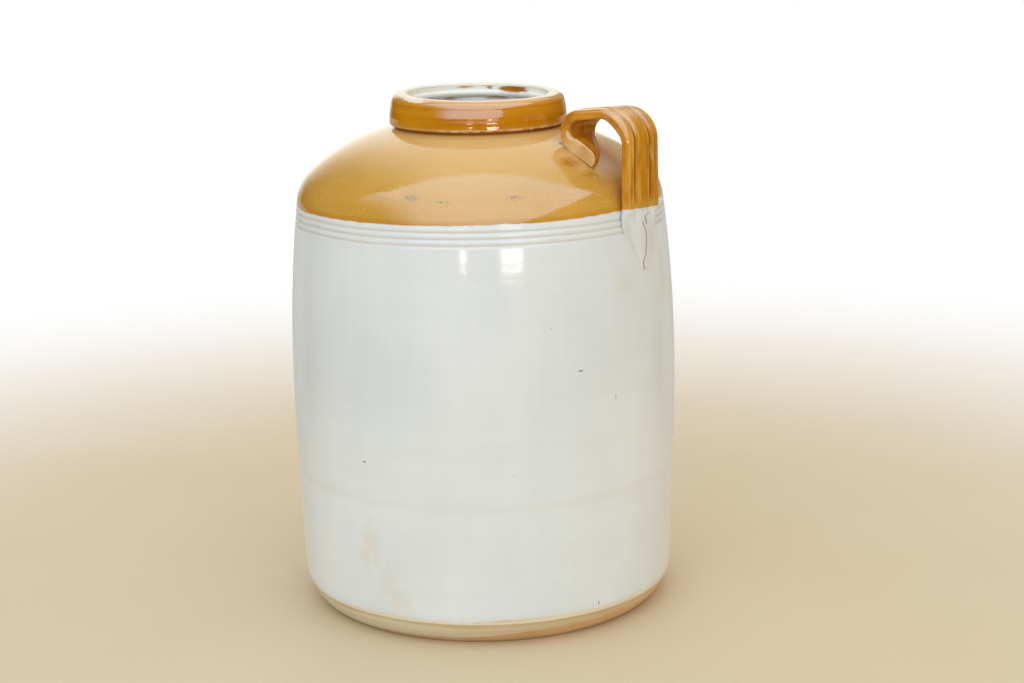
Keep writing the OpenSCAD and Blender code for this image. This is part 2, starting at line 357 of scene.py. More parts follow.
# a single mark with a ragged edge, such as a pit, a stain or a scuff
def buildMark():
    tree, given, result = startGroup("raggedMark",
        [("Centre", vectorSocket, (0, 0, 0)), ("Reach", vectorSocket, (0.001, 0.001, 0.001)),
         ("Softness", floatSocket, 0.5), ("Ragged", floatSocket, 0.5)],
        [("Mask", floatSocket)])
    offset = vectorCalc(tree, "SUBTRACT", placeOf(tree), given.outputs["Centre"]).outputs[0]
    scaled = vectorCalc(tree, "DIVIDE", offset, given.outputs["Reach"]).outputs[0]
    uneven = calc(tree, "SUBTRACT", noiseOf(tree, scaled, 2.2, 3.0), 0.5)
    uneven = calc(tree, "MULTIPLY", calc(tree, "MULTIPLY", uneven, given.outputs["Ragged"]), 2.0)
    edge = calc(tree, "ADD", lengthOf(tree, scaled), uneven)
    inner = calc(tree, "SUBTRACT", 1.0, given.outputs["Softness"])
    tree.links.new(ramp(tree, edge, inner, 1.0, 1.0, 0.0), result.inputs[0])
    return tree


# 1 above a wavering, tilted line at a height, 0 below it
def buildDipLine():
    tree, given, result = startGroup("dipLine",
        [("Height", floatSocket, 0.1), ("Lean", vectorSocket, (0, 0, 0)), ("Waver", floatSocket, 0.001),
         ("Softness", floatSocket, 0.0005)],
        [("Mask", floatSocket)])
    place = placeOf(tree)
    height = addNode(tree, "ShaderNodeSeparateXYZ", {0: place}).outputs[2]
    tilt = vectorCalc(tree, "DOT_PRODUCT", place, given.outputs["Lean"]).outputs["Value"]
    slow = calc(tree, "SUBTRACT", noiseOf(tree, place, 14.0, 1.0), 0.5)
    quick = calc(tree, "SUBTRACT", noiseOf(tree, place, 160.0, 2.0), 0.5)
    wave = calc(tree, "ADD", slow, calc(tree, "MULTIPLY", quick, 0.5))
    wave = calc(tree, "MULTIPLY", calc(tree, "MULTIPLY", wave, 4.0), given.outputs["Waver"])
    line = calc(tree, "ADD", calc(tree, "ADD", given.outputs["Height"], tilt), wave)
    gap = calc(tree, "DIVIDE", calc(tree, "SUBTRACT", height, line), given.outputs["Softness"])
    tree.links.new(ramp(tree, gap, -1.0, 1.0), result.inputs[0])
    return tree


# 1 where a field in metres is above 0, with a ragged edge
def buildRaggedEdge():
    tree, given, result = startGroup("raggedEdge",
        [("Field", floatSocket, 0.0), ("Size", floatSocket, 0.004), ("Ragged", floatSocket, 0.0005),
         ("Softness", floatSocket, 0.0003)],
        [("Mask", floatSocket)])
    noise = sizedNoise(tree, placeOf(tree), given.outputs["Size"], 2.0)
    uneven = calc(tree, "MULTIPLY", calc(tree, "SUBTRACT", noise, 0.5), 3.0)
    uneven = calc(tree, "MULTIPLY", uneven, given.outputs["Ragged"])
    field = calc(tree, "ADD", given.outputs["Field"], uneven)
    share = calc(tree, "DIVIDE", field, given.outputs["Softness"])
    tree.links.new(ramp(tree, share, -1.0, 1.0), result.inputs[0])
    return tree


# lines left round the jar by the turning wheel
def buildThrowLines():
    tree, given, result = startGroup("throwLines",
        [("Pitch", floatSocket, 0.004), ("Spread", floatSocket, 0.3)], [("Value", floatSocket)])
    along = calc(tree, "DIVIDE", 1.0, given.outputs["Pitch"])
    shape = addNode(tree, "ShaderNodeCombineXYZ", {0: 6.0, 1: 6.0, 2: along})
    drawn = vectorCalc(tree, "MULTIPLY", placeOf(tree), shape.outputs[0]).outputs[0]
    noise = noiseOf(tree, drawn, 1.0, 3.0)
    tree.links.new(spreadOut(tree, noise, given.outputs["Spread"]), result.inputs[0])
    return tree


# height of the uneven skin of a fired glaze
def buildPeel():
    tree, given, result = startGroup("glazePeel", [("Grain", floatSocket, 300.0)], [("Height", floatSocket)])
    tree.links.new(noiseOf(tree, placeOf(tree), given.outputs["Grain"], 2.0), result.inputs[0])
    return tree


fineSpeckle, glazeClouding, glazePeel = buildSpeckle(), buildClouding(), buildPeel()
raggedMark, raggedEdge = buildMark(), buildRaggedEdge()
dipLine, throwLines = buildDipLine(), buildThrowLines()


# ochre glaze: clouded, with wheel lines and fine specks; puts out its colour and the specks
def buildOchreBody():
    colours = [(socketName, colourSocket, (1, 1, 1, 1)) for socketName in ("Pale", "Deep", "Line", "Speck")]
    tree, given, result = startGroup("ochreBody",
        colours + [("Cloud Size", floatSocket, 0.05), ("Cloud Stretch", floatSocket, 1.0),
                   ("Line Pitch", floatSocket, 0.004), ("Line Share", floatSocket, 0.2),
                   ("Speck Share", floatSocket, 0.2)],
        [("Colour", colourSocket), ("Specks", floatSocket)])
    clouds = useGroup(tree, glazeClouding, {"Size": given.outputs["Cloud Size"],
                                            "Stretch": given.outputs["Cloud Stretch"], "Spread": 0.25})
    colour = blendColour(tree, clouds, given.outputs["Deep"], given.outputs["Pale"])
    lines = useGroup(tree, throwLines, {"Pitch": given.outputs["Line Pitch"], "Spread": 0.25})
    lineShare = calc(tree, "MULTIPLY", lines, given.outputs["Line Share"])
    colour = blendColour(tree, lineShare, colour, given.outputs["Line"])
    specks = useGroup(tree, fineSpeckle, {"Size": 0.0009, "Cover": 0.50, "Softness": 0.16})
    speckShare = calc(tree, "MULTIPLY", specks, given.outputs["Speck Share"])
    colour = blendColour(tree, speckShare, colour, given.outputs["Speck"])
    tree.links.new(colour, result.inputs[0])
    tree.links.new(specks, result.inputs[1])
    return tree


ochreBody = buildOchreBody()
print("shader groups built")

# where the two glazes meet, and where the white glaze ends above the foot
glazeLine = {"Height": jar["seamZ"] + 0.0001, "Lean": (0.0076, 0.0056, 0.0), "Waver": 0.0007,
             "Softness": 0.0004}
footLine = {"Height": jar["floorT"] + 0.0024, "Waver": 0.0014, "Softness": 0.0009}


def startMaterial(name):
    material = bpy.data.materials.new(name)
    material.use_nodes = True
    tree = material.node_tree
    return material, tree, tree.nodes["Principled BSDF"]


# value of a mark that the mesh carries at its points
def meshMark(tree, name):
    return addNode(tree, "ShaderNodeAttribute", attribute_name=name).outputs["Fac"]


# lays marks over a colour; each is (centre, reach, softness, raggedness, colour, strength)
def layMarks(tree, colour, marks, grain=None):
    for centre, reach, softness, ragged, markColour, strength in marks:
        mask = useGroup(tree, raggedMark, {"Centre": centre, "Reach": reach, "Softness": softness,
                                           "Ragged": ragged})
        if grain is not None:
            mask = calc(tree, "MULTIPLY", mask, grain)
        colour = layOver(tree, colour, mask, strength, markColour)
    return colour


def around(x, z=None):
    return (x, x, x if z is None else z)


bumpDepth = 0.0005  # metres, for the glazes and the clay


def bumpFrom(tree, shader, height, strength):
    bump = addNode(tree, "ShaderNodeBump", {"Strength": strength, "Distance": bumpDepth, "Height": height})
    tree.links.new(bump.outputs[0], shader.inputs["Normal"])


# white glaze; whiteSkin is the same outside and inside
whiteSkin = {
    "clouds": {"Size": 0.07, "Stretch": 0.6, "Spread": 0.34}, "cloudMatt": 0.05,
    "streaks": {"Size": 0.006, "Stretch": 0.04, "Spread": 0.3}, "streakShare": 0.07, "streak": "CFCBC0",
    "lines": {"Pitch": 0.011, "Spread": 0.2}, "lineShare": 0.07, "line": "C6C9C8",
    "specks": {"Size": 0.0022, "Cover": 0.245, "Softness": 0.02}, "speckShare": 0.2, "speck": "9A8B74",
    "roughness": 0.08, "peel": {"Grain": 260.0}, "peelShare": 0.06,
}
whiteLook = {"main": "E7ECED", "cool": "DBE2E4", "thin": "E4DCC8", "thinLine": "D2BA92", "border": "C98F38",
             "ring": "CFC6B6", "ringShare": 0.55, "crease": "A8835C", "creaseShare": 0.9}
# the same white glaze painted lighter for the inside of the jar and the mouth, standing in for light that
# bounces about in there
innerLitLook = {"main": "FBF9EE", "cool": "F3F1E6"}
whiteMarks = [
    (facePoint(-90.7, 0.1246), around(0.0018, 0.0009), 0.6, 0.5, "4A3A2C", 0.75),
    (facePoint(-25.7, 0.1861), around(0.0024, 0.0007), 0.6, 0.5, "43352B", 0.80),
    (facePoint(-13.6, 0.1639), around(0.0006, 0.0026), 0.6, 0.5, "8A7354", 0.60),
    (facePoint(-34.5, 0.2163), around(0.0006), 0.6, 0.5, "5A4836", 0.65),
    (facePoint(-95.6, 0.1414), around(0.0005), 0.6, 0.5, "6B5842", 0.50),
    (facePoint(-56.0, 0.1757), around(0.0005), 0.6, 0.5, "6B5842", 0.50),
    (facePoint(-86.0, 0.1855), around(0.0004), 0.6, 0.5, "6B5842", 0.40),
    (facePoint(-19.5, 0.0220), around(0.0006, 0.0022), 0.6, 0.5, "5A4028", 0.85),
    (facePoint(-21.5, 0.0216), around(0.0004, 0.0012), 0.6, 0.5, "8A7354", 0.50),
    (facePoint(-89.5, 0.0660), around(0.0110, 0.0260), 0.95, 0.8, "DCC49C", 0.24),
    (facePoint(-92.0, 0.0560), around(0.0070, 0.0200), 0.95, 0.8, "DCC8A0", 0.22),
    (facePoint(-84.0, 0.0370), around(0.0110, 0.0280), 0.95, 0.8, "DCC8A0", 0.22),
    (facePoint(-79.5, 0.0280), around(0.0110, 0.0120), 0.95, 0.8, "DCCCA8", 0.24),
    (facePoint(14.0, 0.2350), around(0.0070, 0.0320), 0.95, 0.8, "CFB592", 0.26),
    (facePoint(-8.0, 0.2380), around(0.0130, 0.0130), 0.95, 0.6, "D9C6AE", 0.22),
    (facePoint(120.0, 0.2050), around(0.0011, 0.0006), 0.6, 0.5, "4A3A2C", 0.75),
    (facePoint(172.0, 0.1120), around(0.0006, 0.0010), 0.6, 0.5, "4A3A2C", 0.70),
    (facePoint(60.0, 0.0900), around(0.0060, 0.0200), 0.95, 0.8, "DCC49C", 0.30),
]
mouthMarks = [
    (facePoint(93.5, 0.3541, 0.049), around(0.0150, 0.0032), 0.45, 0.5, "B87408", 1.00),
    (facePoint(90.0, 0.3534, 0.049), around(0.0080, 0.0016), 0.60, 0.5, "A0600C", 0.60),
    (facePoint(120.0, 0.3566, 0.050), around(0.0050, 0.0012), 0.60, 0.8, "C08A34", 0.85),
    (facePoint(116.0, 0.3550, 0.049), around(0.0032, 0.0018), 0.60, 0.8, "B8742C", 0.85),
    (facePoint(137.0, 0.3554, 0.049), around(0.0085, 0.0012), 0.70, 0.7, "C2923C", 0.80),
    (facePoint(110.0, 0.3476, 0.046), around(0.0110, 0.0016), 0.60, 0.5, "B98A2E", 0.90),
    (facePoint(151.0, 0.3476, 0.046), around(0.0065, 0.0013), 0.60, 0.5, "B98E52", 0.80),
]


def buildWhite(name, look, marks, outside=False, creases=False):
    material, tree, shader = startMaterial(name)
    clouds = useGroup(tree, glazeClouding, whiteSkin["clouds"])
    colour = blendColour(tree, clouds, tint(look["main"]), tint(look["cool"]))
    streaks = useGroup(tree, glazeClouding, whiteSkin["streaks"])
    colour = layOver(tree, colour, streaks, whiteSkin["streakShare"], whiteSkin["streak"])
    lines = useGroup(tree, throwLines, whiteSkin["lines"])
    colour = layOver(tree, colour, lines, whiteSkin["lineShare"], whiteSkin["line"])
    specks = useGroup(tree, fineSpeckle, whiteSkin["specks"])
    colour = layOver(tree, colour, specks, whiteSkin["speckShare"], whiteSkin["speck"])
    if outside:
        colour = layOver(tree, colour, meshMark(tree, "crevice"), look["ringShare"], look["ring"])
        edge = blendColour(tree, ramp(tree, lines, 0.3, 0.8), tint(look["thin"]), tint(look["thinLine"]))
        colour = blendColour(tree, useGroup(tree, dipLine, footLine), edge, colour)
    if creases:
        colour = layOver(tree, colour, meshMark(tree, "crease"), look["creaseShare"], look["crease"])
    colour = layMarks(tree, colour, marks)
    if outside:
        colour = blendColour(tree, useGroup(tree, dipLine, glazeLine), colour, tint(look["border"]))
    tree.links.new(colour, shader.inputs["Base Color"])
    matt = multiplyAdd(tree, clouds, whiteSkin["cloudMatt"], whiteSkin["roughness"])
    tree.links.new(matt, shader.inputs["Roughness"])
    bumpFrom(tree, shader, useGroup(tree, glazePeel, whiteSkin["peel"]), whiteSkin["peelShare"])
    return material


# ochre glaze: thin and pale where it ran, deep where it stood; ochreSkin is the same on every piece
ochreSkin = {"poolShare": 0.85, "speckMatt": 0.05, "dullMatt": 0.35,
             "peel": {"Grain": 420.0}, "peelShare": 0.14}
shoulderLook = {
    "pale": "D4A246", "deep": "C79331", "cloudSize": 0.06, "cloudStretch": 1.0, "pitch": 0.004,
    "lines": 0.2, "line": "BC8526", "specks": 0.28, "speck": "DFBA76", "pool": "C89C70",
    "crown": "DFB674", "crownShare": 0.75,
    "crownLine": {"Height": jar["neckZ"] - 0.014, "Waver": 0.002, "Softness": 0.022},
    "scuffDots": {"Size": 0.0012, "Cover": 0.52, "Softness": 0.10},
    "lip": "C2841C", "lipShare": 0.45, "lipRise": 0.0030, "lipSoftness": 0.0009, "below": "E2E1DC",
    "roughness": 0.07, "ior": 1.65,
}
collarLook = {
    "pale": "CC8A06", "deep": "B87002", "cloudSize": 0.03, "cloudStretch": 2.0, "pitch": 0.0026,
    "lines": 0.5, "line": "D29414", "specks": 0.12, "speck": "D89C22", "pool": "A86A20",
    "thin": "D9AA68", "rimThin": 0.55, "rimThinTo": 0.4, "edgeThin": 0.6, "bare": "EBE0CA",
    # specks of painted highlight along the foot of the lower edge
    "glintSpecks": {"Size": 0.0060, "Cover": 0.54, "Softness": 0.06},
    "bareEdge": {"Size": 0.004, "Ragged": 0.0010, "Softness": 0.0006},
    "roughness": 0.06, "ior": 1.8,
}
strapLook = {
    "pale": "D6951C", "deep": "C27C04", "cloudSize": 0.018, "cloudStretch": 0.5, "pitch": 0.006,
    "lines": 0.10, "line": "D29C38", "specks": 0.14, "speck": "DAA850", "pool": "6E3A00",
    # thin is pale glaze, and also the colour of the painted highlight on the bend and the painted reflection
    # on the tongue
    "thin": "E4BE86", "thinFrom": (0.30, 0.55, 0.6, 1.0), "streakAcross": 190.0, "streakAlong": 42.0,
    "streak": "E2B258", "streakFrom": (0.52, 0.72, 0.0, 0.60),
    "dark": "A05C00", "darkFrom": (0.50, 0.32, 0.0, 0.55),
    "roughness": 0.045, "ior": 1.75,
}
# painted shade on the dome by the handle: deeper ochre under the tongue where the handle hides the pale
# reflection, and dark shade in the gap by the tongue and in the slot beside the strap's foot
handleShadeMarks = [
    (facePoint(-16.5, 0.3178), (0.0100, 0.0100, 0.0055), 0.8, 0.4, "B87404", 0.80),
    (facePoint(-13.0, 0.3105), (0.0080, 0.0080, 0.0050), 0.9, 0.5, "BC8010", 0.65),
    (facePoint(-11.0, 0.3274), (0.0030, 0.0022, 0.0016), 0.7, 0.4, "3A2410", 0.85),
    (facePoint(-3.5, 0.2955), (0.0050, 0.0050, 0.0110), 0.8, 0.1, "46380F", 0.85),
]
scuffs = [
    (facePoint(-75.2, 0.3014), around(0.0075, 0.0026), 0.9, 0.6, "5E5848", 0.85),
    (facePoint(-64.8, 0.2990), around(0.0070, 0.0020), 0.9, 0.6, "5E5848", 0.80),
    (facePoint(-43.0, 0.3010), around(0.0080, 0.0024), 0.9, 0.6, "6A6252", 0.85),
]
# where the ochre ends at the strap's foot: a soft line and the edge of the white, with the colour below
strapLines = [
    ({"Height": jar["seamZ"] + 0.0064, "Lean": (0.0, 0.02, 0.0), "Waver": 0.0022, "Softness": 0.0036},
     "CE9A3E"),
    ({"Height": jar["seamZ"] + 0.0016, "Lean": (0.0, -0.048, 0.0), "Waver": 0.0005, "Softness": 0.0004},
     "E3E3E0"),
]


def ochreGround(tree, look):
    colour = useGroup(tree, ochreBody, {
        "Pale": tint(look["pale"]), "Deep": tint(look["deep"]),
        "Line": tint(look["line"]), "Speck": tint(look["speck"]),
        "Cloud Size": look["cloudSize"], "Cloud Stretch": look["cloudStretch"], "Line Pitch": look["pitch"],
        "Line Share": look["lines"], "Speck Share": look["specks"]})
    specks, pool = colour.node.outputs["Specks"], meshMark(tree, "crevice")
    colour = layOver(tree, colour, pool, ochreSkin["poolShare"], look["pool"])
    return colour, specks, pool


# dull is 1 where the surface has lost its gloss
def finishOchre(tree, shader, look, colour, specks, dull):
    tree.links.new(colour, shader.inputs["Base Color"])
    shader.inputs["IOR"].default_value = look["ior"]
    matt = multiplyAdd(tree, specks, ochreSkin["speckMatt"], look["roughness"])
    matt = calc(tree, "ADD", matt, calc(tree, "MULTIPLY", dull, ochreSkin["dullMatt"]))
    tree.links.new(matt, shader.inputs["Roughness"])
    bumpFrom(tree, shader, useGroup(tree, glazePeel, ochreSkin["peel"]), ochreSkin["peelShare"])


def buildShoulder(name, look):
    material, tree, shader = startMaterial(name)
    colour, specks, pool = ochreGround(tree, look)
    crown = useGroup(tree, dipLine, look["crownLine"])
    colour = layOver(tree, colour, crown, look["crownShare"], look["crown"])
    # painted shade beside and under the handle
    colour = layMarks(tree, colour, handleShadeMarks)
    dots = useGroup(tree, fineSpeckle, look["scuffDots"])
    colour = layMarks(tree, colour, scuffs, dots)
    lipLine = {**glazeLine, "Height": glazeLine["Height"] + look["lipRise"], "Softness": look["lipSoftness"]}
    lipColour = blendColour(tree, look["lipShare"], colour, tint(look["lip"]))
    colour = blendColour(tree, useGroup(tree, dipLine, lipLine), lipColour, colour)
    colour = blendColour(tree, useGroup(tree, dipLine, glazeLine), tint(look["below"]), colour)
    finishOchre(tree, shader, look, colour, specks, pool)
    return material


def buildCollar(name, look):
    material, tree, shader = startMaterial(name)
    colour, specks, pool = ochreGround(tree, look)
    thin = ramp(tree, meshMark(tree, "rimShare"), 0.0, look["rimThinTo"], 0.0, look["rimThin"])
    colour = blendColour(tree, thin, colour, tint(look["thin"]))
    colour = layOver(tree, colour, meshMark(tree, "edgeThin"), look["edgeThin"], look["thin"])
    # painted highlights: pale specks in the bare colour along the foot of the lower edge
    glintSpecks = useGroup(tree, fineSpeckle, look["glintSpecks"])
    colour = layOver(tree, colour, glintSpecks, meshMark(tree, "edgeGlint"), look["bare"])
    for mark in ("creamField", "patchField"):
        bare = useGroup(tree, raggedEdge, {"Field": meshMark(tree, mark), **look["bareEdge"]})
        colour = blendColour(tree, bare, colour, tint(look["bare"]))
        pool = calc(tree, "MAXIMUM", pool, bare)
    finishOchre(tree, shader, look, colour, specks, pool)
    return material


def buildStrap(name, look):
    material, tree, shader = startMaterial(name)
    colour, specks, pool = ochreGround(tree, look)
    across = calc(tree, "MULTIPLY", meshMark(tree, "across"), look["streakAcross"])
    along = calc(tree, "MULTIPLY", meshMark(tree, "along"), look["streakAlong"])
    drawn = addNode(tree, "ShaderNodeCombineXYZ", {0: across, 1: along}).outputs[0]
    streaks = noiseOf(tree, drawn, 1.0, 2.0)
    colour = blendColour(tree, ramp(tree, streaks, *look["streakFrom"]), colour, tint(look["streak"]))
    colour = blendColour(tree, ramp(tree, streaks, *look["darkFrom"]), colour, tint(look["dark"]))
    # the thin mark is pale glaze beside the grooves and on the near corners, painted highlight on the bend
    # and painted reflection on the tongue's near face
    thin = calc(tree, "MULTIPLY", meshMark(tree, "thin"), ramp(tree, streaks, *look["thinFrom"]))
    colour = blendColour(tree, thin, colour, tint(look["thin"]))
    for line, low in strapLines:
        colour = blendColour(tree, useGroup(tree, dipLine, line), tint(low), colour)
    finishOchre(tree, shader, look, colour, specks, pool)
    return material


# bare clay of the foot, with a thin wash of glaze over part of it
clayLook = {
    "main": "D8AE76", "warm": "CA9C60", "clouds": {"Size": 0.024, "Stretch": 0.5, "Spread": 0.35},
    "line": "DEC6A4", "lineShare": 0.55, "lines": {"Pitch": 0.0050, "Spread": 0.14},
    "grain": "B88C58", "grainShare": 0.3, "grains": {"Size": 0.0016, "Cover": 0.42, "Softness": 0.1},
    "wash": "DCD2BA", "washLine": "CDB890",
    "washFrom": {"Height": 0.0064, "Lean": (0.052, 0.039, 0.0), "Waver": 0.0014, "Softness": 0.0010},
    # a browner band along the top of the heel, below the white glaze
    "topBand": "C0965C", "topBandShare": 0.5,
    "topBandFrom": {"Height": jar["floorT"] - 0.0022, "Waver": 0.0008, "Softness": 0.0018},
    "roughness": 0.72, "washGloss": -0.35, "bump": 0.35,
}


def buildClay(name, look):
    material, tree, shader = startMaterial(name)
    grain = useGroup(tree, fineSpeckle, look["grains"])
    clouds = useGroup(tree, glazeClouding, look["clouds"])
    colour = blendColour(tree, clouds, tint(look["main"]), tint(look["warm"]))
    lines = useGroup(tree, throwLines, look["lines"])
    colour = layOver(tree, colour, lines, look["lineShare"], look["line"])
    colour = layOver(tree, colour, grain, look["grainShare"], look["grain"])
    wash = useGroup(tree, dipLine, look["washFrom"])
    washed = blendColour(tree, lines, tint(look["wash"]), tint(look["washLine"]))
    colour = blendColour(tree, wash, colour, washed)
    topBand = useGroup(tree, dipLine, look["topBandFrom"])
    colour = layOver(tree, colour, topBand, look["topBandShare"], look["topBand"])
    tree.links.new(colour, shader.inputs["Base Color"])
    matt = multiplyAdd(tree, wash, look["washGloss"], look["roughness"])
    tree.links.new(matt, shader.inputs["Roughness"])
    bumpFrom(tree, shader, grain, look["bump"])
    return material


wallGlaze = buildWhite("wallGlaze", whiteLook, whiteMarks, outside=True)
# inside: the white glaze painted lighter, for light bounced into the mouth and the jar
innerLitGlaze = buildWhite("innerLitGlaze", innerLitLook, mouthMarks)
tailGlaze = buildWhite("tailGlaze", whiteLook, [], creases=True)
shoulderGlaze = buildShoulder("shoulderGlaze", shoulderLook)
collarGlaze = buildCollar("collarGlaze", collarLook)
strapGlaze = buildStrap("strapGlaze", strapLook)
footClay = buildClay("footClay", clayLook)
print("materials built")

# base: the flat foot, the heel and the floor inside
foot = {"centreR": 0.002, "edge": 0.0015, "floorEdge": 0.004, "flatRows": 24, "heelRows": 24, "floorRows": 16}
innerUneven = 0.6  # share of the unevenness on the base, the collar and the gallery
floorR = heelC[0] + heelR * math.cos(heelCutA) - foot["floorEdge"]
baseLine = np.concatenate([
    straightLine((foot["centreR"], 0.0), (jar["footR"] - foot["edge"], 0.0), foot["flatRows"]),
    arcLine(heelC, heelR, heelEndA, heelCutA, foot["heelRows"]),
    straightLine((floorR, jar["floorT"]), (foot["centreR"], jar["floorT"]), foot["floorRows"]),
])
baseRows = np.repeat([0, 1], [foot["flatRows"] + foot["heelRows"], foot["floorRows"]])
gridPiece("jarBase", "base", turned(baseLine, innerUneven), [footClay, innerLitGlaze], baseRows,
          loop=False, ends=True)

# wall: barrel with its turned rings
rings = {"count": 3, "drop": 0.0048, "step": 0.0043, "depth": 0.00034, "half": 0.00095,
         "swell": 0.00006, "swellHalf": 0.0011, "margin": 0.004}
ringZ = [jar["seamZ"] - rings["drop"] - k * rings["step"] for k in range(rings["count"])]
lowerZ = np.linspace(jar["heelZ"], ringZ[-1] - rings["margin"], 122)
upperZ = np.linspace(ringZ[-1] - rings["margin"], jar["seamZ"], 76)[1:]
outerZ = np.concatenate([lowerZ, upperZ])
ringCut = sum(bell(outerZ, z, rings["half"]) for z in ringZ)
ringSwell = sum(bell(outerZ - z, rings["step"] / 2, rings["swellHalf"]) for z in ringZ)
outerR = wallR(outerZ) - rings["depth"] * ringCut + rings["swell"] * ringSwell
outerLine = np.column_stack([outerR, outerZ])
heelLine = arcLine(heelC, heelR, heelCutA, lowA, 14)[:-1]
innerZ = np.linspace(jar["seamZ"], jar["floorT"], 60)
innerLine = np.column_stack([wallR(np.maximum(innerZ, jar["heelZ"])) - jar["wallT"], innerZ])
wallLine = np.concatenate([heelLine, outerLine, innerLine])
outsideRows = len(heelLine) + len(outerLine)
wallRows = np.repeat([0, 1], [outsideRows - 1, len(innerLine) + 1])
wallCrevice = np.zeros(len(wallLine))
# painted shade along the finger's line, added to the rings' colour mark
fingerShade = fingerMark["shadeShare"] * bell(outerZ, fingerMark["shadeZ"], fingerMark["shadeHalf"])
wallCrevice[len(heelLine):outsideRows] = np.clip(ringCut, 0, 1) + fingerShade
gridPiece("jarWall", "body_wall", turned(wallLine), [wallGlaze, innerLitGlaze], wallRows,
          {"crevice": allRound(wallCrevice)})

# shoulder: the dome, open at the throat; glaze has pooled round the neck
neck = {"poolReach": 0.0045, "step": 0.001}
shoulderOuter = np.concatenate([
    arcLine(turnC, jar["turnR"], seamA, turnA, 30),
    arcLine(domeC, jar["domeR"], turnA, neckA, 72)[1:],
])
shoulderInner = np.concatenate([
    straightLine((neckR - neck["step"], jar["neckZ"]), (throatR, jar["neckZ"]), 8),
    arcLine(domeC, jar["domeR"] - jar["wallT"], throatA, turnA, 30),
    arcLine(turnC, jar["turnR"] - jar["wallT"], turnA, seamA, 16)[1:],
])
shoulderLine = np.concatenate([shoulderOuter, shoulderInner])
shoulderRows = np.repeat([0, 1], [len(shoulderOuter) - 1, len(shoulderInner) + 1])
neckPool = np.zeros(len(shoulderLine))
neckPool[:len(shoulderOuter)] = np.clip(1 - (shoulderOuter[:, 0] - neckR) / neck["poolReach"], 0, 1) ** 2
gridPiece("jarShoulder", "shoulder", turned(shoulderLine), [shoulderGlaze, innerLitGlaze],
          shoulderRows, {"crevice": allRound(neckPool)})

# gallery: the rounded ledge that a lid sits on
gallery = {"r": 0.0025, "inset": 0.0005}
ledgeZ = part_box("gallery_ring")[1].z
ledgeFootZ = ledgeZ - 2 * gallery["r"]
ledgeFootR = jar["mouthR"] - 2 * gallery["r"] * (jar["mouthR"] - throatR) / (ledgeZ - jar["neckZ"])
ledgeC = np.array([ledgeFootR - gallery["inset"], ledgeZ - gallery["r"]])
galleryLine = np.concatenate([
    straightLine((ledgeFootR, ledgeFootZ), (jar["mouthR"], ledgeZ), 8),
    arcLine(ledgeC, gallery["r"], math.pi / 2, 1.5 * math.pi, 26),
])
gridPiece("jarGallery", "gallery_ring", turned(galleryLine, innerUneven, True), [innerLitGlaze])

# collar: narrows up to the rounded rim and hangs over the neck
collar = {"lift": 0.002, "rimOut": 0.006, "rimIn": 0.0016, "bulge": 0.0004,
          "ridge": 0.000014, "ridgeRise": 0.0006, "ridgeDrift": 0.00083, "poolReach": 0.0035}
edgeR = collar["lift"] / 2
edgeC = np.array([collarR - edgeR, jar["neckZ"] + collar["lift"] + edgeR])
rimC = np.array([collarR - jar["collarTaper"] - collar["rimOut"], jar["rimZ"] - collar["rimOut"]])
faceA = math.atan2(jar["collarTaper"], rimC[1] - edgeC[1])
edgeLine = arcLine(edgeC, edgeR, -math.pi / 2, faceA, 12)
rimLine = arcLine(rimC, collar["rimOut"], faceA, math.pi / 2, 26)
inLine = arcLine((jar["mouthR"] + collar["rimIn"], jar["rimZ"] - collar["rimIn"]), collar["rimIn"],
                 math.pi / 2, math.pi, 14)
topLine = straightLine(rimLine[-1], inLine[0], 8)[1:-1]
underLine = np.concatenate([
    straightLine((throatR, jar["neckZ"]), (neckR, jar["neckZ"]), 6),
    straightLine((neckR, jar["neckZ"]), edgeLine[0], 6)[1:-1],
])
faceLine = straightLine(edgeLine[-1], rimLine[0], 44)[1:-1]
faceLine[:, 0] += collar["bulge"] * np.sin(np.linspace(0, math.pi, len(faceLine)))
ridgeWave = 2 + np.sin(faceLine[:, 1] / collar["ridgeRise"])
ridgeWave = ridgeWave + np.sin(faceLine[:, 1] / collar["ridgeDrift"] + 1)
faceLine[:, 0] -= collar["ridge"] * ridgeWave
collarLine = np.concatenate([
    underLine, edgeLine, faceLine, rimLine, topLine, inLine,
    straightLine(inLine[-1], (jar["mouthR"], ledgeZ), 10)[1:],
    straightLine((jar["mouthR"], ledgeZ), (throatR, jar["neckZ"]), 16)[1:-1],
])
edgeRow, faceRow = len(underLine), len(underLine) + len(edgeLine)
rimRow = faceRow + len(faceLine)
mouthRow = rimRow + len(rimLine) + len(topLine) + len(inLine) - 1
collarRows = np.repeat([0, 1], [mouthRow, len(collarLine) - mouthRow])
collarWay = np.concatenate([[0], np.cumsum(np.linalg.norm(np.diff(collarLine, axis=0), axis=1))])
rimLength = collarWay[mouthRow] - collarWay[rimRow]
rimShare = np.clip((collarWay - collarWay[rimRow]) / rimLength, 0, 1)[:, None]
# the ochre runs up to the mouth in front, and elsewhere the rim is bare cream; turns are from the front
cream = {"from": 0.86, "lower": 0.42, "turns": (36, 60)}
creamFrom = cream["from"] - cream["lower"] * smoothStep(np.abs(fromFront), *cream["turns"])[None, :]
patch = {"turn": -50, "halfTurn": 12, "share": 0.36, "halfShare": 0.13}
patchAway = np.hypot(((fromFront - patch["turn"]) / patch["halfTurn"])[None, :],
                     (rimShare - patch["share"]) / patch["halfShare"])
patchField = rimLength * patch["halfShare"] * (1 - patchAway)
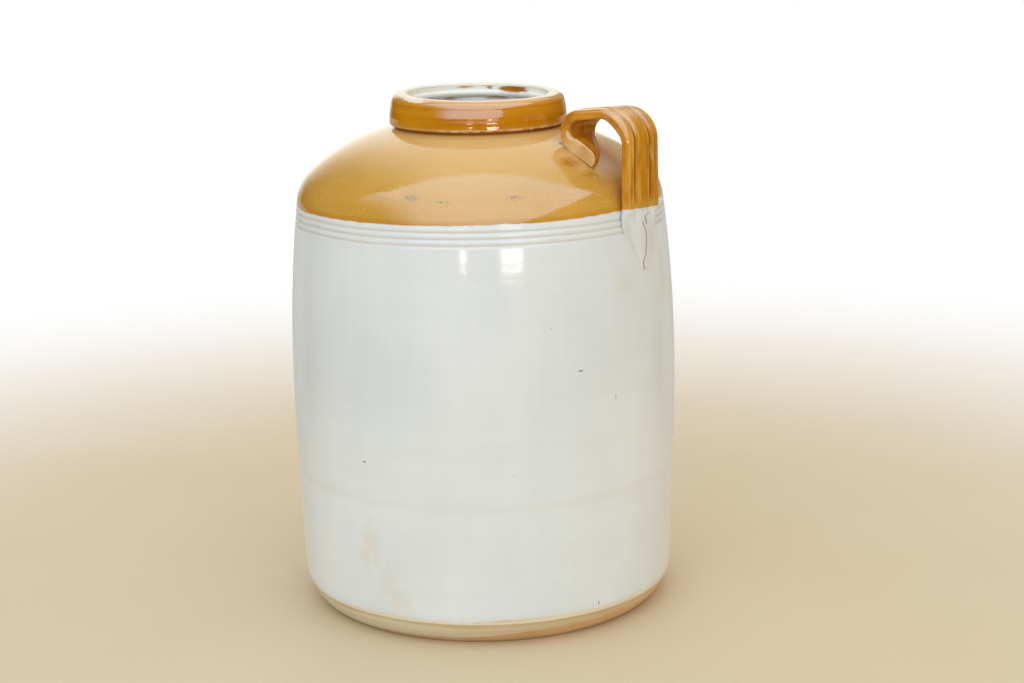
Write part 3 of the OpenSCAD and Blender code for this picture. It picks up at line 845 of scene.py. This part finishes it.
# the glaze is thin along the top of the lower edge, and painted highlights dot its foot on part of the way
# round, where beads of glaze catch the light
edgeThinAndGlint = {"thinRow": 9, "thinHalf": 0.0010, "glintRow": 4, "glintHalf": 0.0008,
            "fromTurns": (-34, -18), "toTurns": (72, 52)}
glintSide = smoothStep(fromFront, *edgeThinAndGlint["fromTurns"]) * smoothStep(fromFront, *edgeThinAndGlint["toTurns"])
edgeThin = bell(collarWay, collarWay[edgeRow + edgeThinAndGlint["thinRow"]], edgeThinAndGlint["thinHalf"])
edgeGlintBell = bell(collarWay, collarWay[edgeRow + edgeThinAndGlint["glintRow"]], edgeThinAndGlint["glintHalf"])
collarPool = np.zeros(len(collarLine))
collarPool[:faceRow] = np.clip(1 - (collarLine[:faceRow, 1] - jar["neckZ"]) / collar["poolReach"], 0, 1)
collarMarks = {"crevice": allRound(collarPool), "rimShare": allRound(rimShare[:, 0]),
               "creamField": (rimShare - creamFrom) * rimLength, "patchField": patchField,
               "edgeThin": allRound(edgeThin), "edgeGlint": edgeGlintBell[:, None] * glintSide[None, :]}
gridPiece("jarCollar", "collar", turned(collarLine, innerUneven, True),
          [collarGlaze, innerLitGlaze], collarRows, collarMarks)
print("turned pieces built")

# strap: foot, bend, arch, curl and tongue on one path
strap = {
    "w": 0.0395, "t": 0.0074, "drop": 0.0052, "bendR": 0.019, "curlR": 0.011, "curlGap": 0.0189,
    "tongueL": 0.020, "press": 0.0014, "taper": 0.7, "roll": math.radians(-2), "crown": 0.0006,
    "grooves": (-0.011, 0.0075), "grooveDepth": 0.0015, "grooveHalf": 0.003, "lute": 0.0001,
    "pad": 0.0032, "tipW": 0.0053, "tipFrom": 0.6, "tipDrop": 0.96, "curlNarrow": 0.0133, "swell": 0.0016,
    "flatEdge": 0.7, "pull": 0.00006, "pullPitch": 0.0046,
    "ripple": 0.00012, "rippleAlong": 23, "rippleAcross": 180, "edgeStreak": 0.5,
    "faceRows": 72, "edgeRows": 18, "backRows": 28,
    "footSteps": 26, "bendSteps": 40, "curlSteps": 60, "tongueSteps": 48,
}
# the glaze breaks pale beside the grooves and on the corners of the near edge; the pale on the bend is a
# painted highlight standing in for the sky's reflection, and on the tongue's flat near face a painted
# reflection lies over thin wiped glaze
strapPale = {"crest": 0.28, "crestOff": 1.15, "crestHalf": 0.0008,
             "corner": 0.35, "cornerAt": 1.05, "cornerHalf": 0.2,
             "bend": 0.45, "bendAt": math.radians(58), "bendReach": 0.35, "tongue": 0.9}
strapRho = seamR + strap["lute"] + strap["t"] / 2
bendC = np.array([strapRho - strap["bendR"],
                  jar["rimZ"] - strap["drop"] - strap["crown"] - strap["t"] / 2 - strap["bendR"]])
tongueR = jar["domeR"] + strap["t"] / 2 - strap["press"]
curlRho = collarR + strap["curlGap"] + strap["t"] / 2 + strap["curlR"]
curlA = math.acos((curlRho - domeC[0]) / (tongueR + strap["curlR"]))
curlC = onCircle(domeC, tongueR + strap["curlR"], curlA)
runD = curlC - bendC
runLean = math.acos((strap["bendR"] - strap["curlR"]) / float(np.linalg.norm(runD)))
runA = math.atan2(runD[1], runD[0]) - runLean
tongueA = strap["tongueL"] / tongueR


def grooveShare(across):
    share = np.zeros_like(across)
    for place in strap["grooves"]:
        near = np.abs(across - place) < strap["grooveHalf"]
        wave = (1 + np.cos(math.pi * (across - place) / strap["grooveHalf"])) / 2
        share = np.maximum(share, np.where(near, wave, 0))
    return share


halfT = strap["t"] / 2
faceHalf = (strap["w"] - strap["t"]) / 2
faceAcross = np.linspace(-faceHalf, faceHalf, strap["faceRows"])
faceGroove = grooveShare(faceAcross)
pullWave = 1 - np.cos(2 * math.pi * faceAcross / strap["pullPitch"])
faceOut = halfT + strap["crown"] * (1 - (faceAcross / faceHalf) ** 2)
faceOut = faceOut - strap["grooveDepth"] * faceGroove
faceOut = faceOut - strap["pull"] * pullWave * (1 - faceGroove)
edgeTurn = np.linspace(math.pi / 2, -math.pi / 2, strap["edgeRows"])[1:-1]
farEdge = np.column_stack([faceHalf + halfT * np.cos(edgeTurn), halfT * np.sin(edgeTurn)])
backAcross = np.linspace(faceHalf, -faceHalf, strap["backRows"])
backLine = np.column_stack([backAcross, np.full(strap["backRows"], -halfT)])
nearEdge = np.column_stack([-faceHalf - halfT * np.cos(edgeTurn), -halfT * np.sin(edgeTurn)])
section = np.concatenate([np.column_stack([faceAcross, faceOut]), farEdge, backLine, nearEdge])
nearFrom = len(section) - len(nearEdge)
sectionPool = np.zeros(len(section))
sectionPool[:strap["faceRows"]] = faceGroove
sectionDark = sectionPool ** 3
sectionThin = np.zeros(len(section))
crestOff = strapPale["crestOff"] * strap["grooveHalf"]
for crest in [place + side * crestOff for place in strap["grooves"] for side in (-1, 1)]:
    sectionThin[:strap["faceRows"]] += strapPale["crest"] * bell(faceAcross, crest, strapPale["crestHalf"])
cornerBell = bell(np.abs(edgeTurn), strapPale["cornerAt"], strapPale["cornerHalf"])
sectionThin[nearFrom:] = strapPale["corner"] * cornerBell

# stations: centre (radius, height), direction of the outer face, shares of the outer and the inner half
# of the thickness, place of the far edge, flatness of the near edge, way along the strap
half = strap["w"] / 2
padShare, swellShare = 2 * strap["pad"] / strap["t"], 2 * strap["swell"] / strap["t"]
curlFar, tongueFar = half - strap["curlNarrow"], strap["tipW"] - half
stations = []
for k in range(strap["footSteps"]):
    z = jar["seamZ"] + (bendC[1] - jar["seamZ"]) * k / strap["footSteps"]
    stations.append((np.array([strapRho, z]), 0.0, 1.0, 1.0, half, 0.0, 0.25 * k / strap["footSteps"]))
for k in range(strap["bendSteps"] + 1):
    a = runA * k / strap["bendSteps"]
    inner = 1 + swellShare * math.sin(math.pi * k / strap["bendSteps"]) ** 2
    way = 0.25 + 0.25 * k / strap["bendSteps"]
    stations.append((onCircle(bendC, strap["bendR"], a), a, 1.0, inner, half, 0.0, way))
for k in range(1, strap["curlSteps"] + 1):
    q = k / strap["curlSteps"]
    a = runA + (curlA + math.pi - runA) * q
    stations.append((onCircle(curlC, strap["curlR"], a), a, 1.0, 1 + padShare * q ** 3,
                     half - strap["curlNarrow"] * q ** 2, q ** 3, 0.5 + q / 2))
for k in range(1, strap["tongueSteps"] + 1):
    u = k / strap["tongueSteps"]
    a = curlA - tongueA * u
    tipShare = max(0.0, u - strap["tipFrom"]) / (1 - strap["tipFrom"])
    inner = (1 + padShare) * math.sqrt(1 - strap["tipDrop"] * tipShare ** 2)
    far = curlFar + (tongueFar - curlFar) * u
    outer = 1 - (1 - strap["taper"]) * u
    stations.append((onCircle(domeC, tongueR, a), a + math.pi, outer, inner, far, 1.0, 1.0))


# moves points that lie under the dome's face out to it
def pressed(points):
    r = np.hypot(points[:, 0], points[:, 1])
    flat = np.column_stack([r, points[:, 2]])
    fromTurn = flat - turnC
    onTurn = np.arctan2(fromTurn[:, 1], fromTurn[:, 0]) < turnA
    centre = np.where(onTurn[:, None], turnC, domeC)
    least = np.where(onTurn, jar["turnR"], jar["domeR"])
    away = np.linalg.norm(flat - centre, axis=1)
    lifted = centre + (flat - centre) * (np.maximum(away, least) / away)[:, None]
    return np.column_stack([points[:, 0] * lifted[:, 0] / r, points[:, 1] * lifted[:, 0] / r, lifted[:, 1]])


strapRings, strapThinAndSheen, strapAcross, strapAlong = [], [], [], []
gone, before = 0.0, stations[0][0]
for centre, facing, outer, inner, far, flat, way in stations:
    roll = strap["roll"] * math.sin(math.pi * way) ** 2
    place = section[:, 0].copy()
    place[nearFrom:] = -faceHalf - halfT * np.cos(edgeTurn) ** (1 - strap["flatEdge"] * flat)
    place = (far + half) * (place / strap["w"] + 0.5) - half
    raised = section[:, 1] * np.where(section[:, 1] > 0, outer, inner)
    ripple = 1 + np.sin(way * strap["rippleAlong"] + section[:, 0] * strap["rippleAcross"])
    raised = raised - strap["ripple"] * ripple * np.sign(raised)
    across = place * math.cos(roll) - raised * math.sin(roll)
    outward = place * math.sin(roll) + raised * math.cos(roll)
    ringR, ringHeight = centre[0] + outward * math.cos(facing), centre[1] + outward * math.sin(facing)
    strapRings.append(pressed(np.column_stack([ringR, across, ringHeight])))
    gone, before = gone + float(np.linalg.norm(centre - before)), centre
    strapAcross.append(place + section[:, 1] * strap["edgeStreak"])
    strapAlong.append(np.full(len(section), gone))
    # thin glaze, with a painted reflection on the tongue's near face and a painted highlight on the bend
    thin = sectionThin.copy()
    thin[nearFrom:] = np.maximum(thin[nearFrom:], strapPale["tongue"] * flat)
    bendThin = strapPale["bend"] * bell(facing, strapPale["bendAt"], strapPale["bendReach"])
    thin = np.maximum(thin, np.where(section[:, 1] > 0, bendThin, 0))
    strapThinAndSheen.append(np.clip(thin, 0, 1))
strapMarks = {"crevice": np.array([sectionDark] * len(stations)), "thin": np.array(strapThinAndSheen),
              "across": np.array(strapAcross), "along": np.array(strapAlong)}
gridPiece("jarStrap", "handle_strap", np.array(strapRings), [strapGlaze],
          marks=strapMarks, loop=False, ends=True)

# a run of glaze below the tongue's tip: turn and height of its ends, half its width, how far it stands out
drip = {"top": (-9.2, 0.3132), "low": (-12.4, 0.3064), "half": 0.0008, "raise": 0.0007,
        "outward": (0.45, 0.9), "topSize": 0.7, "growth": 0.5, "endSize": 0.004, "rows": 16, "around": 14}
dripRings, dripTurn = [], np.linspace(0, 2 * math.pi, drip["around"], endpoint=False)
for share in np.linspace(0, 1, drip["rows"]):
    turn, z = (drip["top"][k] * (1 - share) + drip["low"][k] * share for k in (0, 1))
    spot, aside = np.array(facePoint(turn, z)), np.array(facePoint(turn + 90, 0.0, 1.0))
    outward = np.array(facePoint(turn, drip["outward"][1], drip["outward"][0]))
    rounded = math.sqrt(max(drip["endSize"], 1 - (2 * share - 1) ** 2))
    size = rounded * (drip["topSize"] + drip["growth"] * share)
    dripRings.append(spot + drip["half"] * size * np.cos(dripTurn)[:, None] * aside
                     + drip["raise"] * size * np.sin(dripTurn)[:, None] * outward)
dripRings = np.array(dripRings)
gridPiece("glazeDrip", None, dripRings, [shoulderGlaze],
          marks={"crevice": np.zeros(dripRings.shape[:2])}, loop=False, ends=True)

# tail: the strap's end smeared down on the wall to a point
tail = {"l": 0.041, "tipW": 0.002, "tipT": 0.0008, "shift": 0.0036, "nearBow": 1.6, "farBow": 5.0,
        "nearFeather": 0.4, "farFeather": 0.25, "leastFeather": 0.06, "sink": 0.0006, "wear": 6,
        "creaseFade": 0.02, "creaseShare": 0.4, "creaseDepth": 0.0006, "backLimit": 0.00001,
        "rows": 72}
# a brownish stain along the tail's near edge and a darker line along its far edge: strength, place across it
# as a share, half width; the near one starts lower
tailEdgeMarks = {"far": (0.30, 0.95, 0.03), "near": (0.22, 0.06, 0.05), "nearFrom": (0.1, 0.3)}
standShare = section[:, 0] / strap["w"] + 0.5
feather = np.minimum(np.minimum(1, standShare / tail["nearFeather"]), (1 - standShare) / tail["farFeather"])
feather = np.maximum(tail["leastFeather"], np.sin(math.pi / 2 * np.clip(feather, 0, 1)))
standOff = strapRho + section[:, 1] - np.sqrt((seamR + strap["lute"]) ** 2 - section[:, 0] ** 2)
onBack = section[:, 1] < tail["backLimit"] - halfT
standOff = np.where(onBack, 0, standOff)
farStrength, farPlace, farWidth = tailEdgeMarks["far"]
farEdgeLine = farStrength * bell(standShare, farPlace, farWidth)
nearStrength, nearPlace, nearWidth = tailEdgeMarks["near"]
nearStain = nearStrength * bell(standShare, nearPlace, nearWidth)
# two creases left by the thumb: heights as shares of the tail, places across it and half widths
creases = [
    (np.array([0.18, 0.23, 0.38, 0.53, 0.76, 0.87, 1.0]),
     np.array([-0.0036, -0.0028, 0.0016, 0.0039, 0.0049, 0.0021, 0.0033]), 0.0007),
    (np.array([0.04, 0.06, 0.08, 0.11, 0.23]),
     np.array([0.0062, 0.0030, 0.0006, -0.0006, 0.0007]), 0.0008),
]
tailRings, tailCrease = [], []
for v in np.linspace(0, 1, tail["rows"]):
    z = jar["seamZ"] - tail["l"] * v
    near = (half + tail["shift"] - tail["tipW"] / 2) * v ** tail["nearBow"] - half
    far = half - (half - tail["shift"] - tail["tipW"] / 2) * v ** tail["farBow"]
    across = near + (far - near) * standShare
    tip = tail["tipT"] / strap["t"]
    worn = 1 - (1 - v) ** tail["wear"]
    full = standOff + strap["grooveDepth"] * sectionPool * worn
    lift = full * (tip + (1 - tip) * math.cos(math.pi / 2 * v) ** 2) * (1 - (1 - feather) * worn)
    lift = lift - tail["sink"] * (1 - feather) ** 2 * worn
    crease = np.zeros(len(section))
    for heights, places, width in creases:
        present = smoothStep(v, heights[0] - tail["creaseFade"], heights[0] + tail["creaseFade"])
        present = present * smoothStep(v, heights[-1] + tail["creaseFade"], heights[-1] - tail["creaseFade"])
        crease = np.maximum(crease, present * bell(across, np.interp(v, heights, places), width))
    crease[strap["faceRows"]:] = 0
    lift = lift - np.clip(lift * tail["creaseShare"], 0, tail["creaseDepth"]) * crease
    out = np.sqrt((float(wallR(z)) + strap["lute"]) ** 2 - across ** 2) + lift
    tailRings.append(np.column_stack([out, across, np.full(len(section), z)]))
    nearNow = nearStain * smoothStep(v, *tailEdgeMarks["nearFrom"])
    tailCrease.append(np.maximum(np.maximum(crease, farEdgeLine * worn), nearNow))
gridPiece("jarTail", "handle_tail", np.array(tailRings), [tailGlaze],
          marks={"crease": np.array(tailCrease)}, loop=False, ends=True)
print("handle built")

# camera, at the photo's place; the jar's handle lies to the right of its front
shot = {"turn": math.radians(90 + jar["frontTurn"]), "away": 1.41099, "height": 0.50506, "yaw": 0.014282,
        "pitch": 0.226758, "roll": -0.0205775, "lens": 71.764, "sensor": 36.0}
front = Matrix.Rotation(shot["turn"], 3, "Z")
ahead = Vector((math.sin(shot["yaw"]) * math.cos(shot["pitch"]),
                math.cos(shot["yaw"]) * math.cos(shot["pitch"]),
                -math.sin(shot["pitch"])))
right = Vector((math.cos(shot["yaw"]), -math.sin(shot["yaw"]), 0))
upward = right.cross(ahead)
rolledRight = right * math.cos(shot["roll"]) + upward * math.sin(shot["roll"])
rolledUp = -right * math.sin(shot["roll"]) + upward * math.cos(shot["roll"])
cameraPlace = front @ Vector((0, -shot["away"], shot["height"]))
columns = [front @ rolledRight, front @ rolledUp, front @ -ahead, cameraPlace]
cameraData = bpy.data.cameras.new("shotCamera")
cameraData.lens, cameraData.sensor_width, cameraData.sensor_fit = shot["lens"], shot["sensor"], "HORIZONTAL"
camera = bpy.data.objects.new("shotCamera", cameraData)
bpy.context.scene.collection.objects.link(camera)
camera.matrix_world = Matrix([[column[k] for column in columns] for k in range(3)] + [[0, 0, 0, 1]])
bpy.context.scene.camera = camera

# surroundings: pale backdrop behind, open light above and in front, a warm side on the right; each pair
# is where a part begins and where it is full, along the directions to the right, to the back and up
studio = {
    "dropTilt": 0.254, "dropBack": (-0.06, 0.0), "dropLeft": (-0.55, -0.15), "dropRight": (0.62, 0.45),
    "shadeLeft": (0.08, 0.22), "shadeTop": (0.62, 0.45),
    "openSlope": (-0.879, -0.248), "openEdge": (-0.02, 0.03), "openBack": (0.0, -0.06),
    "openLeft": (-0.92, -0.5), "openLow": (0.05, 0.14), "rightSide": (-0.3, 0.6), "sides": (-0.05, 0.3),
}
# colours of its parts as soft light, and as what the glaze mirrors; drop is the backdrop
softLight = {"low": (0.66, 0.64, 0.60, 1), "left": (0.66, 0.66, 0.65, 1), "right": (0.76, 0.57, 0.36, 1),
             "open": (1.16, 1.24, 1.36, 1), "drop": (0.88, 0.87, 0.85, 1), "shade": (0.86, 0.85, 0.83, 1)}
mirrored = {"low": (0.05, 0.035, 0.015, 1), "left": (0.13, 0.12, 0.10, 1), "right": (0.34, 0.22, 0.10, 1),
            "open": (1.9, 2.5, 3.1, 1), "drop": (1.35, 1.3, 1.2, 1), "shade": (0.34, 0.36, 0.34, 1)}
world = bpy.data.worlds.new("studioWorld")
bpy.context.scene.world = world
world.use_nodes = True
tree = world.node_tree
tree.nodes.clear()
direction = addNode(tree, "ShaderNodeTexCoord").outputs["Generated"]
facing = addNode(tree, "ShaderNodeVectorRotate", {"Vector": direction, "Angle": -shot["turn"]},
                 rotation_type="Z_AXIS")
sideX, backY, upZ = addNode(tree, "ShaderNodeSeparateXYZ", {0: facing.outputs[0]}).outputs[:3]
behind = calc(tree, "SUBTRACT", backY, calc(tree, "MULTIPLY", upZ, studio["dropTilt"]))
slope = calc(tree, "ADD", calc(tree, "MULTIPLY", sideX, studio["openSlope"][0]),
             calc(tree, "MULTIPLY", backY, studio["openSlope"][1]))
openHeight = calc(tree, "ADD", upZ, slope)


# product of ramps, each given as a value and the name of its limits
def maskOf(*parts):
    mask = None
    for value, name in parts:
        share = ramp(tree, value, *studio[name])
        mask = share if mask is None else calc(tree, "MULTIPLY", mask, share)
    return mask


dropMask = maskOf((behind, "dropBack"), (sideX, "dropLeft"), (sideX, "dropRight"))
shadeMask = maskOf((sideX, "shadeLeft"), (upZ, "shadeTop"))
openMask = maskOf((openHeight, "openEdge"), (behind, "openBack"), (sideX, "openLeft"), (upZ, "openLow"))


def surroundings(light):
    base = blendColour(tree, maskOf((sideX, "rightSide")), light["left"], light["right"])
    base = blendColour(tree, maskOf((upZ, "sides")), light["low"], base)
    base = blendColour(tree, openMask, base, light["open"])
    return blendColour(tree, dropMask, base, blendColour(tree, shadeMask, light["drop"], light["shade"]))


path = addNode(tree, "ShaderNodeLightPath")
colour = blendColour(tree, path.outputs["Is Glossy Ray"], surroundings(softLight), surroundings(mirrored))
colour = blendColour(tree, path.outputs["Is Camera Ray"], colour, (1, 1, 1, 1))
sky = addNode(tree, "ShaderNodeBackground", {"Color": colour, "Strength": 1.0})
tree.links.new(sky.outputs[0], addNode(tree, "ShaderNodeOutputWorld").inputs[0])

# lamps: name, place from the jar's front in metres (right, towards the camera, up), size, watts, colour,
# and whether the glaze mirrors it
lampAim = Vector((0, 0, 0.2))
lamps = [
    ("keyLamp", (-0.9, 2.2, 1.5), (1.6, 1.2), 2.0, (1.0, 0.99, 0.97), False),
    ("glintNarrow", (-0.37, 1.9, 0.335), (0.11, 0.13), 0.6, (1.0, 0.93, 0.80), True),
    ("glintWide", (0.55, 1.82, 0.325), (0.42, 0.16), 2.2, (1.0, 0.93, 0.80), True),
]
for name, spot, size, watts, lampColour, glossy in lamps:
    lampData = bpy.data.lights.new(name, "AREA")
    lampData.shape, lampData.size, lampData.size_y = "RECTANGLE", size[0], size[1]
    lampData.energy, lampData.color = watts, lampColour
    lamp = bpy.data.objects.new(name, lampData)
    bpy.context.scene.collection.objects.link(lamp)
    lamp.location = front @ Vector((spot[0], -spot[1], spot[2]))
    aim = lampAim - lamp.location
    lamp.rotation_euler = aim.to_track_quat("-Z", "Y").to_euler()
    lamp.visible_camera, lamp.visible_glossy = False, glossy

# floor: pale, fading into the white surroundings; pairs are distances from the jar in metres
floorLook = {"r": 4.0, "sides": 96, "z": -0.0002, "main": "DAC7A6", "other": "D6C29E", "roughness": 0.7,
             "clouds": {"Size": 0.2, "Stretch": 1.0, "Spread": 0.4},
             "fade": (0.35, 1.15), "dimFade": (0.35, 0.9),
             "rear": (0.55, 0.54, 0.50, 1), "rearFade": (0.25, 0.6)}
rearTurn = (0.45, 0.75)  # cosines of the turn from straight behind the jar
floorTool = bmesh.new()
bmesh.ops.create_circle(floorTool, cap_ends=True, segments=floorLook["sides"], radius=floorLook["r"])
floorMesh = bpy.data.meshes.new("paleFloor")
floorTool.to_mesh(floorMesh)
floorTool.free()
paleFloor = bpy.data.objects.new("paleFloor", floorMesh)
paleFloor.location.z = floorLook["z"]
bpy.context.scene.collection.objects.link(paleFloor)
floorMaterial, tree, shader = startMaterial("floorPaint")
spread = placeOf(tree)
away = lengthOf(tree, spread)
clouds = useGroup(tree, glazeClouding, floorLook["clouds"])
floorColour = blendColour(tree, clouds, tint(floorLook["main"]), tint(floorLook["other"]))
tree.links.new(floorColour, shader.inputs["Base Color"])
shader.inputs["Roughness"].default_value = floorLook["roughness"]
path = addNode(tree, "ShaderNodeLightPath")
cameraRay, glossyRay = path.outputs["Is Camera Ray"], path.outputs["Is Glossy Ray"]


# shows a plain glow in place of a shader, by a share
def glowOver(below, share, colour):
    glow = addNode(tree, "ShaderNodeEmission", {"Color": colour, "Strength": 1.0})
    return addNode(tree, "ShaderNodeMixShader", {0: share, 1: below, 2: glow.outputs[0]}).outputs[0]


# in the glaze the far floor is dim, and pale behind the jar; the camera sees it fade to white
dim = calc(tree, "MULTIPLY", ramp(tree, away, *floorLook["dimFade"]), glossyRay)
mixed = glowOver(shader.outputs[0], dim, mirrored["low"])
toRear = vectorCalc(tree, "DOT_PRODUCT", spread, front @ Vector((0, 1, 0))).outputs["Value"]
rear = ramp(tree, calc(tree, "DIVIDE", toRear, away), *rearTurn)
rear = calc(tree, "MULTIPLY", rear, ramp(tree, away, *floorLook["rearFade"]))
rear = calc(tree, "MULTIPLY", rear, glossyRay)
mixed = glowOver(mixed, rear, floorLook["rear"])
fade = calc(tree, "MULTIPLY", ramp(tree, away, *floorLook["fade"]), cameraRay)
mixed = glowOver(mixed, fade, (1, 1, 1, 1))
tree.links.new(mixed, tree.nodes["Material Output"].inputs[0])
floorMesh.materials.append(floorMaterial)

bpy.context.scene.view_settings.view_transform = "Standard"
print("camera, light and floor set")
